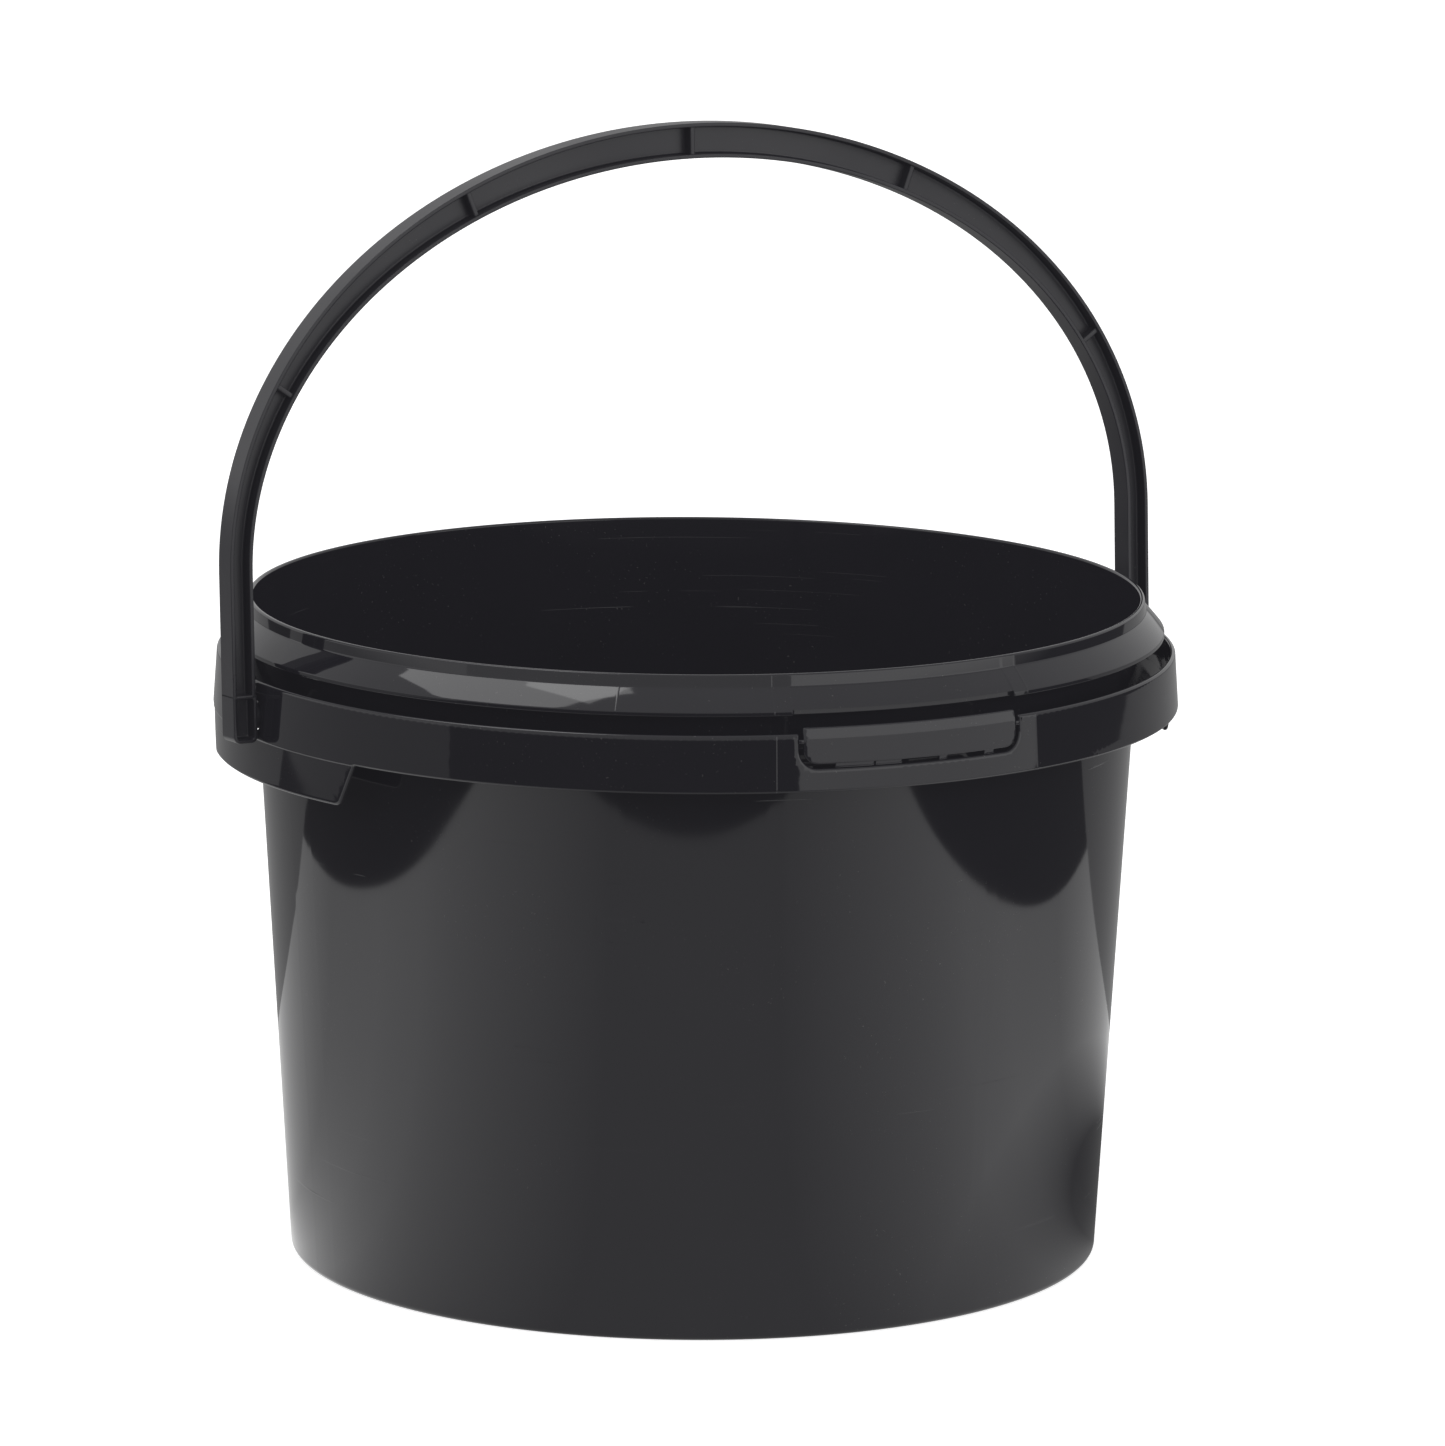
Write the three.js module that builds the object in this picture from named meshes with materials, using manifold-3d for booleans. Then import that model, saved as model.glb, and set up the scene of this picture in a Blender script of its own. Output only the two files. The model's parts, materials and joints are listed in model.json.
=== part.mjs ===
// Florist bucket: a round black polypropylene pail with a swinging plastic bail handle
// and a tear-off tab in its tamper-evident collar. Millimetres, +Z up.
// Origin: centre of the base, on the floor. X is the handle's pivot axis, -Y is the tab side.
import * as THREE from 'three';
import { mergeVertices } from 'three/addons/utils/BufferGeometryUtils.js';
import Module from 'manifold-3d';

const wasm = await Module();
wasm.setup();

// ---------- driving dimensions ----------

const roundSteps = 96; // facets round the pail
const past = 5; // how far a cutting shape runs beyond the surface it cuts

const collarRadius = 113; // widest point of the pail: bottom edge of the collar
const collarTopRadius = 112.1;
const collarBottomZ = 130.3;
const collarTopZ = 143.5;
const collarWall = 1.2;
const collarTip = 0.3; // bevel round the collar's free edge

const baseRadius = 95;
const wallDraft = 7.6 / 130; // growth of the body's radius per millimetre of height
const wallThickness = 1.2;
const footInnerRadius = 90.6;
const footOuterRadius = 94;
const footBevel = 1.3;
const baseRecess = 1.5; // underside of the floor above the foot ring
const floorThickness = 1.5;
const floorFillet = 2.2; // inside corner between floor and wall

const flangeZ = 134.8; // top of the flange that joins the collar to the body
const flangeThickness = 1.4;
const gussetCount = 24;
const gussetThickness = 1.2;

const lipRadius = 104.8;
const lipWall = 1.1;
const lipTopZ = 155.9;
const lipBevel = 0.4;
const shoulderTop = { radius: 105.1, z: 153.1 };
const shoulderEdge = { radius: 109.5, z: 148.2 };
const beadBottomZ = 147.2;

const earTopAngle = 20.6; // half width of the plate under each handle end, in degrees
const earBottomAngle = 18.1;
const earBottomZ = 120.3;
const earSetback = 0.15; // the plate's face lies just inside the collar's face
const earThickness = 0.9;
const earOverlap = 1.2; // height over which the plate is fused to the collar
const earCorner = 2.5;

const tabAngle = 13.8; // half width of the tear-off tab, in degrees
const tabBottomZ = 136.6;
const tabTopZ = 144.8;
const tabCorner = 3.2;
const tabLipHeight = 2.1; // the top edge leans inwards over this height
const tabLipLean = 0.4;
const tabSlit = 1.0;
const bridgeGap = 0.3;
const bridgeWidth = 1.5;
const bridgeAngles = [-8.6, -5.2, 3.4, 9.5]; // break-off bridges along the tab's lower edge
const notchAngle = 14.75; // half width of the finger notch in the shoulder above the tab
const notchRadius = 108.3;

const pivotZ = 135.5;
const pinRadius = 3;
const pinHoleRadius = 3.3;
const pinHeadRadius = 4;
const pinTipRadius = 2.4;
const pinHeadLength = 3;
const pinHeadEndX = 110.6; // broad end of the snap head, just inside the collar
const pinPocket = { radius: 6, fromX: 104.2, toX: 111 }; // room for the head, cut into the flange

const bailWidth = 7; // along Y
const bailOuter = { half: 119.3, top: 130.4, spring: 33.2 }; // half span and heights above the pivot
const bailInner = { half: 113.7, top: 122.2, spring: 33.2 }; // legs are straight up to the spring
const bailFlange = 0.95;
const bailWeb = 3.5; // back wall of the channel, which opens to the front
const bailRibAngles = [-63.7, -29, 0, 29, 63.7]; // on the arch, from its top, in degrees
const bailRibThickness = 1.2;
const hubHeight = 11.1;
const hubBelowPivot = 5.8;
const hubInnerX = 113.35;
const hubCorner = 1.6;
const hubPocketDepth = 3.3;
const bailLean = 2.8; // the handle stands a little back from upright, in degrees
const archSteps = 56;

// ---------- solids and booleans ----------

const toRadians = THREE.MathUtils.degToRad;
const toDegrees = THREE.MathUtils.radToDeg;

function toSolid(geometry) {
  const bare = geometry.index ? geometry.toNonIndexed() : geometry.clone();
  for (const name of ['normal', 'uv']) bare.deleteAttribute(name);
  const merged = mergeVertices(bare, 1e-4);
  const corners = merged.index.array;
  const kept = [];
  for (let i = 0; i < corners.length; i += 3) {
    const [a, b, c] = corners.slice(i, i + 3);
    if (a !== b && b !== c && c !== a) kept.push(a, b, c);
  }
  const mesh = new wasm.Mesh({
    numProp: 3,
    vertProperties: new Float32Array(merged.attributes.position.array),
    triVerts: new Uint32Array(kept),
  });
  return new wasm.Manifold(mesh);
}

function toGeometry(solid) {
  const mesh = solid.getMesh();
  const geometry = new THREE.BufferGeometry();
  geometry.setAttribute('position', new THREE.BufferAttribute(mesh.vertProperties, 3));
  geometry.setIndex(new THREE.BufferAttribute(mesh.triVerts, 1));
  geometry.computeVertexNormals();
  return geometry;
}

// A solid of revolution about Z from [radius, z] points, anticlockwise seen with Z up.
function turned(points) {
  const profile = points.map(([radius, z]) => new THREE.Vector2(radius, z));
  const geometry = new THREE.LatheGeometry(profile, roundSteps);
  geometry.rotateX(Math.PI / 2);
  return toSolid(geometry);
}

// A ring of rectangular section.
function ringBlock(innerRadius, outerRadius, fromZ, toZ) {
  return turned([
    [innerRadius, fromZ],
    [outerRadius, fromZ],
    [outerRadius, toZ],
    [innerRadius, toZ],
    [innerRadius, fromZ],
  ]);
}

// A prism along Y from a shape drawn in X and Z.
function prismAlongY(shape, fromY, toY) {
  const geometry = new THREE.ExtrudeGeometry(shape, {
    depth: toY - fromY,
    bevelEnabled: false,
    curveSegments: archSteps,
  });
  geometry.rotateX(Math.PI / 2);
  geometry.translate(0, toY, 0);
  return toSolid(geometry);
}

function block(from, to) {
  const size = to.map((value, i) => value - from[i]);
  const centre = to.map((value, i) => (value + from[i]) / 2);
  const geometry = new THREE.BoxGeometry(...size);
  geometry.translate(...centre);
  return toSolid(geometry);
}

// A cone or cylinder along X.
function rodAlongX(fromX, toX, fromRadius, toRadius, z) {
  const geometry = new THREE.CylinderGeometry(toRadius, fromRadius, toX - fromX, 32);
  geometry.rotateZ(-Math.PI / 2);
  geometry.translate((fromX + toX) / 2, 0, z);
  return toSolid(geometry);
}

function turnAboutZ(solid, degrees) {
  return solid.rotate([0, 0, degrees]);
}

function joinAll(solids) {
  return solids.reduce((whole, piece) => whole.add(piece));
}

// ---------- shared outlines ----------

function wallRadius(z) {
  return baseRadius + wallDraft * z;
}

function collarOuter(z) {
  const slope = (collarTopRadius - collarRadius) / (collarTopZ - collarBottomZ);
  return collarRadius + slope * (z - collarBottomZ);
}

function halfWidthAt(degrees, radius) {
  return radius * Math.sin(toRadians(degrees));
}

// A plate outline: straight top, rounded lower corners.
function plateShape(topHalf, bottomHalf, topZ, bottomZ, corner) {
  const shape = new THREE.Shape();
  shape.moveTo(-topHalf, topZ);
  shape.lineTo(-bottomHalf, bottomZ + corner);
  shape.quadraticCurveTo(-bottomHalf, bottomZ, -bottomHalf + corner, bottomZ);
  shape.lineTo(bottomHalf - corner, bottomZ);
  shape.quadraticCurveTo(bottomHalf, bottomZ, bottomHalf, bottomZ + corner);
  shape.lineTo(topHalf, topZ);
  shape.closePath();
  return shape;
}

// ---------- pail ----------

function pailOutline() {
  const floorTop = baseRecess + floorThickness;
  const floorEdge = wallRadius(floorTop) - wallThickness;
  const flangeUnder = flangeZ - flangeThickness;
  const lipInner = lipRadius - lipWall;
  return [
    // underside and foot ring
    [0, baseRecess],
    [footInnerRadius - baseRecess / 2, baseRecess],
    [footInnerRadius, 0],
    [footOuterRadius, 0],
    [wallRadius(footBevel) - footBevel / 4, footBevel / 4],
    [wallRadius(footBevel), footBevel],
    // outside wall, flange and collar
    [wallRadius(flangeUnder), flangeUnder],
    [collarOuter(flangeUnder) - collarWall, flangeUnder],
    [collarRadius - collarWall, collarBottomZ],
    [collarRadius, collarBottomZ],
    [collarTopRadius, collarTopZ - collarTip],
    [collarTopRadius - collarTip, collarTopZ],
    [collarTopRadius - collarWall, collarTopZ],
    [collarOuter(flangeZ) - collarWall, flangeZ],
    [wallRadius(flangeZ), flangeZ],
    // bead, shoulder and lip
    [wallRadius(beadBottomZ), beadBottomZ - 1],
    [shoulderEdge.radius, beadBottomZ],
    [shoulderEdge.radius, shoulderEdge.z],
    [shoulderTop.radius, shoulderTop.z],
    [lipRadius, lipTopZ - lipBevel],
    [lipRadius - lipBevel, lipTopZ],
    [lipInner, lipTopZ],
    // inside wall and floor
    [lipInner - lipBevel, shoulderEdge.z],
    [wallRadius(collarTopZ) - wallThickness, collarTopZ],
    [wallRadius(floorTop + floorFillet) - wallThickness, floorTop + floorFillet],
    [floorEdge - floorFillet / 4, floorTop + floorFillet / 4],
    [floorEdge - floorFillet, floorTop],
    [0, floorTop],
  ];
}

function ears() {
  const face = collarRadius - earSetback;
  const back = face - earThickness;
  const fusedZ = collarBottomZ + earOverlap;
  const ring = turned([
    [back, earBottomZ - past],
    [face, earBottomZ - past],
    [face, collarBottomZ],
    [collarOuter(fusedZ) - earSetback, fusedZ],
    [back, fusedZ],
    [back, earBottomZ - past],
  ]);
  const topHalf = halfWidthAt(earTopAngle, face);
  const bottomHalf = halfWidthAt(earBottomAngle, face);
  const outline = plateShape(topHalf, bottomHalf, fusedZ + past, earBottomZ, earCorner);
  const window = prismAlongY(outline, -collarRadius - past, collarRadius + past);
  return ring.intersect(turnAboutZ(window, 90));
}

// Small upright plates under the flange, between the body and the collar.
function gussets() {
  const half = gussetThickness / 2;
  const from = [wallRadius(flangeZ) - wallThickness / 2, -half, collarBottomZ + collarTip];
  const to = [collarRadius - collarWall - collarTip, half, flangeZ - flangeThickness / 2];
  const one = block(from, to);
  const step = 360 / gussetCount;
  const turns = Array.from({ length: gussetCount }, (_, i) => (i + 0.5) * step);
  return joinAll(turns.map((turn) => turnAboutZ(one, turn)));
}

// The tab's outline as a cutter through the front of the collar, widened by a clearance.
function tabWindow(clearance) {
  const half = halfWidthAt(tabAngle, collarTopRadius) + clearance;
  const top = tabTopZ + clearance * past;
  const outline = plateShape(half, half, top, tabBottomZ - clearance, tabCorner + clearance);
  return prismAlongY(outline, -collarRadius - past, -wallRadius(tabTopZ));
}

function collarWindow() {
  const inner = collarTopRadius - collarWall - past / 4;
  const ring = ringBlock(inner, collarRadius + past, flangeZ + collarTip, collarTopZ + past);
  return ring.intersect(tabWindow(tabSlit));
}

function fingerNotch() {
  const fromZ = beadBottomZ - past / 2;
  const ring = ringBlock(notchRadius, collarRadius, fromZ, shoulderTop.z);
  const half = halfWidthAt(notchAngle, notchRadius);
  const sector = block([-half, -collarRadius - past, fromZ - past], [half, 0, lipTopZ]);
  return ring.intersect(sector);
}

function pinHoles() {
  const hole = rodAlongX(pinPocket.toX - 1, collarRadius + past, pinHoleRadius, pinHoleRadius, pivotZ);
  const { radius, fromX, toX } = pinPocket;
  const side = hole.add(rodAlongX(fromX, toX, radius, radius, pivotZ));
  return side.add(turnAboutZ(side, 180));
}

function pailSolid() {
  return turned(pailOutline())
    .add(ears())
    .add(gussets())
    .subtract(collarWindow())
    .subtract(fingerNotch())
    .subtract(pinHoles());
}

// ---------- tear-off tab ----------

function tabSolid() {
  const bridgeBottom = tabBottomZ - tabSlit + bridgeGap;
  const lipZ = tabTopZ - tabLipHeight;
  const topRadius = collarOuter(tabTopZ) - tabLipLean;
  const ring = turned([
    [collarOuter(bridgeBottom) - collarWall, bridgeBottom],
    [collarOuter(bridgeBottom), bridgeBottom],
    [collarOuter(lipZ), lipZ],
    [topRadius, tabTopZ - collarTip],
    [topRadius - collarTip, tabTopZ],
    [topRadius - collarWall, tabTopZ],
    [collarOuter(lipZ) - collarWall, lipZ],
    [collarOuter(bridgeBottom) - collarWall, bridgeBottom],
  ]);
  const half = bridgeWidth / 2;
  const from = [-half, -collarRadius - past, bridgeBottom - past];
  const to = [half, -wallRadius(tabBottomZ), tabBottomZ + bridgeGap];
  const bridges = bridgeAngles.map((angle) => turnAboutZ(block(from, to), angle));
  return ring.intersect(joinAll([tabWindow(0), ...bridges]));
}

// ---------- bail handle ----------

// The flat outline of a band: out along the outer arch, clockwise, and back along the inner one.
// Each arch is two upright legs joined by a half ellipse.
function bandShape(outer, inner, footZ) {
  const shape = new THREE.Shape();
  shape.moveTo(-outer.half, footZ);
  shape.lineTo(-outer.half, outer.spring);
  shape.absellipse(0, outer.spring, outer.half, outer.top - outer.spring, Math.PI, 0, true);
  shape.lineTo(outer.half, footZ);
  shape.lineTo(inner.half, footZ);
  shape.lineTo(inner.half, inner.spring);
  shape.absellipse(0, inner.spring, inner.half, inner.top - inner.spring, 0, Math.PI, false);
  shape.lineTo(-inner.half, footZ);
  shape.closePath();
  return shape;
}

function offsetArch(arch, amount) {
  return { half: arch.half + amount, top: arch.top + amount, spring: arch.spring };
}

// Cross ribs that stiffen the channel, square to the arch.
function archRibs() {
  const middle = (bailOuter.half + bailInner.half) / 2;
  const rise = (bailOuter.top + bailInner.top) / 2 - bailOuter.spring;
  const reach = bailOuter.top - bailInner.top;
  const size = [bailRibThickness / 2, bailWidth / 2, reach];
  return bailRibAngles.map((angle) => {
    const a = toRadians(angle);
    const normal = Math.atan2(Math.sin(a) / middle, Math.cos(a) / rise);
    const centre = [middle * Math.sin(a), 0, bailOuter.spring + rise * Math.cos(a)];
    const rib = block(size.map((value) => -value), size);
    return rib.rotate([0, toDegrees(normal), 0]).translate(centre);
  });
}

// The square-ended hub at one foot, its front pocket, and the snap pin that points inwards.
function hub() {
  const bottom = -hubBelowPivot;
  const top = bottom + hubHeight;
  const front = -bailWidth / 2;
  const outline = new THREE.Shape();
  outline.moveTo(hubInnerX, top);
  outline.lineTo(hubInnerX, bottom + hubCorner);
  outline.quadraticCurveTo(hubInnerX, bottom, hubInnerX + hubCorner, bottom);
  outline.lineTo(bailOuter.half - hubCorner, bottom);
  outline.quadraticCurveTo(bailOuter.half, bottom, bailOuter.half, bottom + hubCorner);
  outline.lineTo(bailOuter.half, top);
  outline.closePath();
  const body = prismAlongY(outline, front, bailWidth / 2);
  const pocket = block(
    [hubInnerX + bailFlange, front - past, bottom + bailFlange],
    [bailOuter.half - bailFlange, front + hubPocketDepth, top - bailRibThickness],
  );
  const headStartX = pinHeadEndX - pinHeadLength;
  const shank = rodAlongX(pinHeadEndX - pinHeadLength / 2, hubInnerX + bailFlange, pinRadius, pinRadius, 0);
  const head = rodAlongX(headStartX, pinHeadEndX, pinTipRadius, pinHeadRadius, 0);
  return joinAll([body.subtract(pocket), shank, head]);
}

function bailSolid() {
  const hubTop = hubHeight - hubBelowPivot;
  const front = -bailWidth / 2;
  const back = bailWidth / 2;
  const band = prismAlongY(bandShape(bailOuter, bailInner, hubTop - bailRibThickness), front, back);
  const hollow = bandShape(offsetArch(bailOuter, -bailFlange), offsetArch(bailInner, bailFlange), hubTop);
  const channel = prismAlongY(hollow, front - past, back - bailWeb);
  const ribs = joinAll(archRibs()).intersect(band);
  return joinAll([band.subtract(channel), ribs, hub(), hub().mirror([1, 0, 0])]);
}

// ---------- assembly ----------

function blackPlastic(roughness) {
  return new THREE.MeshStandardMaterial({ color: 0x17171a, roughness, metalness: 0 });
}

function named(name, solid, material) {
  const mesh = new THREE.Mesh(toGeometry(solid), material);
  mesh.name = name;
  return mesh;
}

const bucket = new THREE.Group();
bucket.add(named('pail', pailSolid(), blackPlastic(0.3)));
bucket.add(named('tear_off_tab', tabSolid(), blackPlastic(0.32)));

const bailMount = new THREE.Group();
bailMount.position.z = pivotZ;
bailMount.rotation.x = -toRadians(bailLean);
bailMount.add(named('bail_handle', bailSolid(), blackPlastic(0.38)));
bucket.add(bailMount);

export default bucket;
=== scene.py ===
"""Florist bucket: the look of a black plastic pail, its bail handle and its tear-off tab.

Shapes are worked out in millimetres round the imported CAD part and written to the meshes
in metres. X is the handle's pivot axis, -Y is the tab side, +Z is up. An angle round the
pail is counted from the tab towards +X, in degrees.
"""

import json
import math

import bmesh
import bpy
import numpy as np
from mathutils import Matrix, Vector
from mathutils.geometry import delaunay_2d_cdt


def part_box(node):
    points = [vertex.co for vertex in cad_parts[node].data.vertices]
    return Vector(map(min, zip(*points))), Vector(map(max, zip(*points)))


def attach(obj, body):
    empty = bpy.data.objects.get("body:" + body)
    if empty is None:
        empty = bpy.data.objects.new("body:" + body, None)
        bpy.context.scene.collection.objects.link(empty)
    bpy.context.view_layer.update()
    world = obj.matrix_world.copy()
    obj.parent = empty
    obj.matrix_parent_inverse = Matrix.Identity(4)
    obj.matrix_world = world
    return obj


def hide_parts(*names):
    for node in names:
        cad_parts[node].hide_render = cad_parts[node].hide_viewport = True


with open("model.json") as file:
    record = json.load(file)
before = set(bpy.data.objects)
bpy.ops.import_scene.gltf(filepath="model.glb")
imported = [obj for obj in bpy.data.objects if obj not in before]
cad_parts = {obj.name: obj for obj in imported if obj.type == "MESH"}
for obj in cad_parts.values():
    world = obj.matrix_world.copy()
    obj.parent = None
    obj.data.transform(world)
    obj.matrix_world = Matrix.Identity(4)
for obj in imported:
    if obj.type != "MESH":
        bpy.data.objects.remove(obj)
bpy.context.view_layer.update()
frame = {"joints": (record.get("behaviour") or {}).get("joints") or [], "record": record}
MM = 0.001


# ---------- sizes, in millimetres, some of them from the frame ----------

def box_mm(node):
    low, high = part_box(node)
    return [value / MM for value in low], [value / MM for value in high]


def joint_named(name):
    return next(joint for joint in frame["joints"] if joint["name"] == name)


pail_high = box_mm("pail")[1]
tab_low, tab_high = box_mm("tear_off_tab")
bail_high = box_mm("bail_handle")[1]
PIVOT_Z = joint_named("bail_swing")["pos_m"][2] / MM

# body
LIP_TOP = pail_high[2]
BASE_RADIUS = 95
DRAFT = 7.6 / 130
WALL = 1.2
FLOOR_Z = 3
RECESS = 1.5
FOOT_INNER = 90.6
LIP_RADIUS = 104.8
LIP_WALL = 1.1
SHOULDER_TOP = (105.1, LIP_TOP - 2.8)
SHOULDER_EDGE = (109.5, LIP_TOP - 7.7)
SHOULDER_BULGE = (0.11, 0.1)  # how far the middle of the shoulder stands out and up
BEAD_BOTTOM = LIP_TOP - 8.7
FLANGE_TOP = 134.8
FLANGE_UNDER = 133.4
NOTCH_ANGLE = 14.75
NOTCH_RADIUS = 108.3
INSERT_ANGLE = 17.0  # where the mould's tab insert meets the rest of the mould
SEAM_ANGLE = -35.6  # a parting line across the shoulder
GUSSETS = 24
GUSSET_THICKNESS = 1.2
POCKET_RADIUS = 104.2  # the flange stops here beside each snap pin
POCKET_ANGLE = 3.2

# collar
COLLAR_RADIUS = pail_high[0]
COLLAR_TOP_RADIUS = COLLAR_RADIUS - 0.9
COLLAR_BOTTOM = 130.3
COLLAR_TOP = 143.5
COLLAR_WALL = 1.2
UNROLLED = COLLAR_RADIUS - 0.5  # radius at which distances round the collar are measured
EAR_BOTTOM = 120.3
EAR_TOP_ANGLE = 20.6
EAR_BOTTOM_ANGLE = 18.1
EAR_SETBACK = 0.15
COLLAR_ROUNDING = 0.6

# tab
TAB_BOTTOM = tab_low[2] + 0.7
TAB_TOP = tab_high[2]
TAB_SLIT = 1.0
TAB_CORNER = 3.2
TAB_LIP = 1.9
TAB_ANGLE = 13.8
TAB_ROUNDING = 0.28
# webs below the tab: from angle, to angle, setback behind the tab's face
BRIDGE_SPANS = ((-10.1, -5.4, 0.12), (-5.2, -1.9, 0.3), (2.9, 4.0, 0.2), (9.1, 10.5, 0.2))
BRIDGE_THICKNESS = 0.8
SIDE_WEB_HALF = 0.62  # half width and half height of the web at each side of the tab
SIDE_WEB_HALF_HEIGHT = 0.45
SIDE_WEB_RISE = 5.2  # its height above the tab's lower edge

# bail handle, with heights from the pivot
BAIL_HALF = bail_high[0]
BAIL_INNER_HALF = BAIL_HALF - 5.6
BAIL_TOP = 130.4
BAIL_INNER_TOP = 122.2
BAIL_SPRING = 33.2
BAIL_WIDTH = 7
BAIL_FLANGE = 0.95
BAIL_WEB = 3.5
BAIL_RIBS = (-63.7, -29, 0, 29, 63.7)
RIB_THICKNESS = 1.2
RIB_SETBACK = 0.7  # how far the ribs stay behind the channel's open front
HUB_TOP = 5.3
HUB_BOTTOM = -5.8
HUB_INNER = BAIL_HALF - 5.95
HUB_CORNER = 1.6
HUB_POCKET = 3.3
PIN_RADIUS = 3
PIN_HOLE = 3.3
PIN_HEAD_RADIUS = 4
PIN_TIP_RADIUS = 2.4
PIN_HEAD_BACK = 110.6  # distance of the snap head's broad end and of its tip from the pail's axis
PIN_HEAD_TIP = 107.6
BAIL_LEAN = 2.8


# ---------- lines and outlines ----------

def corner_arc(before, corner, after, radius, steps):
    """The points of the arc that rounds one corner of a line."""
    before, corner, after = (np.array(point, float) for point in (before, corner, after))
    back = (before - corner) / np.linalg.norm(before - corner)
    on = (after - corner) / np.linalg.norm(after - corner)
    half = math.acos(max(-1.0, min(1.0, float(back @ on)))) / 2
    if radius == 0 or half > math.radians(89):
        return [corner] * (steps + 1 if radius else 1)
    middle = (back + on) / np.linalg.norm(back + on)
    centre = corner + middle * radius / math.sin(half)
    start = corner + back * radius / math.tan(half) - centre
    end = corner + on * radius / math.tan(half) - centre
    turn = math.atan2(start[0] * end[1] - start[1] * end[0], float(start @ end))
    points = []
    for step in range(steps + 1):
        angle = turn * step / steps
        c, s = math.cos(angle), math.sin(angle)
        points.append(centre + np.array([c * start[0] - s * start[1], s * start[0] + c * start[1]]))
    return points


def rounded(points, closed=False, steps=4):
    """A line of (x, y, corner radius) with its corners rounded, as an array of points."""
    count = len(points)
    result = []
    for i, (x, y, radius) in enumerate(points):
        if closed or 0 < i < count - 1:
            before = points[i - 1][:2]
            after = points[(i + 1) % count][:2]
            result += corner_arc(before, (x, y), after, radius, steps)
        else:
            result.append((x, y))
    return np.array(result, float)


def wall_radius(z):
    return BASE_RADIUS + DRAFT * z


def smooth_step(value, low, high):
    t = np.clip((value - low) / (high - low), 0, 1)
    return t * t * (3 - 2 * t)


def ridge(off, height):
    """A fine ridge along a mould's edge, this many degrees away."""
    return height * np.exp(-((off / 0.06) ** 2))


def insert_mark(angle):
    """How far the surface stands out at an angle: a fine ridge where the mould's insert ends."""
    off = np.abs(angle) - INSERT_ANGLE
    return ridge(off, 0.07) - 0.04 * smooth_step(-off, 0, 0.1)


# ---------- meshes ----------

def mesh_object(name, vertices, faces, material):
    """An object from points in millimetres."""
    mesh = bpy.data.meshes.new(name)
    mesh.from_pydata([tuple(float(c) * MM for c in v) for v in vertices], [], faces)
    mesh.validate()
    piece = bpy.data.objects.new(name, mesh)
    bpy.context.scene.collection.objects.link(piece)
    mesh.materials.append(material)
    return piece


def edit(piece, work):
    """Runs work(bmesh) on a piece's mesh."""
    editing = bmesh.new()
    editing.from_mesh(piece.data)
    work(editing)
    editing.to_mesh(piece.data)
    editing.free()


def smooth_shaded(piece, sharpest=40):
    """Smooth shading that keeps broad faces flat beside their rounded edges."""
    piece.data.shade_smooth()
    sharp = math.radians(sharpest)

    def mark(editing):
        for edge in editing.edges:
            edge.smooth = len(edge.link_faces) != 2 or edge.calc_face_angle(0) < sharp

    edit(piece, mark)
    weights = piece.modifiers.new("weights", "WEIGHTED_NORMAL")
    weights.keep_sharp = True
    weights.weight = 60
    return piece


def stands_for(piece, node):
    body = next(name for name, nodes in frame["record"]["behaviour"]["bodies"].items() if node in nodes)
    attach(piece, body)
    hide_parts(node)
    return piece


def around(angle, radius, z):
    a = math.radians(angle)
    return (radius * math.sin(a), -radius * math.cos(a), z)


def bevelled_block(name, low, high, width, material):
    """A block with rounded edges, between two corners in millimetres."""
    corners = [(x, y, z) for x in (low[0], high[0]) for y in (low[1], high[1]) for z in (low[2], high[2])]
    faces = [(0, 1, 3, 2), (4, 6, 7, 5), (0, 4, 5, 1), (2, 3, 7, 6), (0, 2, 6, 4), (1, 5, 7, 3)]
    piece = mesh_object(name, corners, faces, material)

    def soften(editing):
        bmesh.ops.bevel(
            editing, geom=editing.edges[:], offset=width * MM, segments=3, profile=0.5, affect="EDGES"
        )

    edit(piece, soften)
    return piece


def joined(name, pieces):
    """One object from several, named anew."""
    bpy.ops.object.select_all(action="DESELECT")
    for piece in pieces:
        piece.select_set(True)
    bpy.context.view_layer.objects.active = pieces[0]
    bpy.ops.object.join()
    pieces[0].name = name
    pieces[0].data.name = name
    return pieces[0]


# ---------- pail body ----------

def body_angles():
    """Columns round the body: even ones, and close ones where the section changes."""
    angles = {float(angle) for angle in range(-180, 180)}
    for centre in (-INSERT_ANGLE, INSERT_ANGLE, -NOTCH_ANGLE, NOTCH_ANGLE, SEAM_ANGLE):
        angles |= {round(centre + step * 0.04, 3) for step in range(-6, 7)}
    for side in (-90, 90):
        for edge in (-POCKET_ANGLE, POCKET_ANGLE):
            angles |= {side + edge - 0.1, side + edge + 0.1}
    return sorted(angles)


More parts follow.
